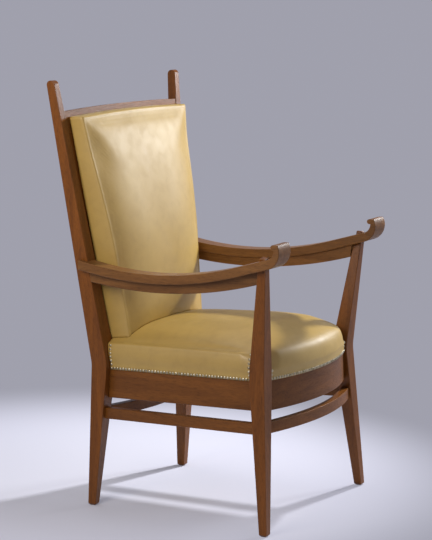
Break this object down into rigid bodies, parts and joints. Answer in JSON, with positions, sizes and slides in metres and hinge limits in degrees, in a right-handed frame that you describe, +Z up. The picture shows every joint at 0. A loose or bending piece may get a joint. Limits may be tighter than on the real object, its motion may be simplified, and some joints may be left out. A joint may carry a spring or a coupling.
{
  "type": "armchair",
  "caption": "High-back open armchair with splayed wooden legs, swept scroll-ended arms, bowed stretchers and a nailed leather seat and tall raked leather back pad.",
  "frame": {"origin": "on the floor, under the middle of the chair's overall length and width", "axes": "+Z up, the chair faces -Y, +X is the sitter's left"},
  "size_m": [0.6276, 0.6515, 1.1],
  "materials": {
    "frame_wood": "satin stained hardwood",
    "block_wood": "raw planed wood",
    "leather": "semi-gloss smooth leather",
    "nails": "polished dome heads",
    "steel": "plain wire and screws",
    "webbing": "woven jute",
    "canvas": "plain canvas",
    "stuffing": "loose fibre"
  },
  "bodies": {
    "root": {"rear_post_left": "frame_wood", "rear_post_right": "frame_wood", "front_leg_left": "frame_wood", "front_leg_right": "frame_wood", "seat_side_rail_left": "frame_wood", "seat_side_rail_right": "frame_wood", "seat_front_rail": "frame_wood", "seat_rear_rail": "frame_wood", "side_stretcher_left": "frame_wood", "side_stretcher_right": "frame_wood", "front_stretcher": "frame_wood", "rear_stretcher": "frame_wood", "arm_rail_left": "frame_wood", "arm_rail_right": "frame_wood", "arm_left": "frame_wood", "arm_right": "frame_wood", "back_lower_rail": "frame_wood", "crest_rail": "frame_wood", "back_stile_left": "frame_wood", "back_stile_right": "frame_wood", "corner_blocks": "block_wood", "block_screws": "steel", "seat_springs": "steel", "seat_webbing": "webbing", "back_webbing": "webbing", "spring_canvas": "canvas", "seat_stuffing": "stuffing", "back_stuffing": "stuffing", "seat_leather": "leather", "back_leather": "leather", "outside_back": "leather", "seat_nails": "nails", "back_nails": "nails"}
  },
  "joints": []
}
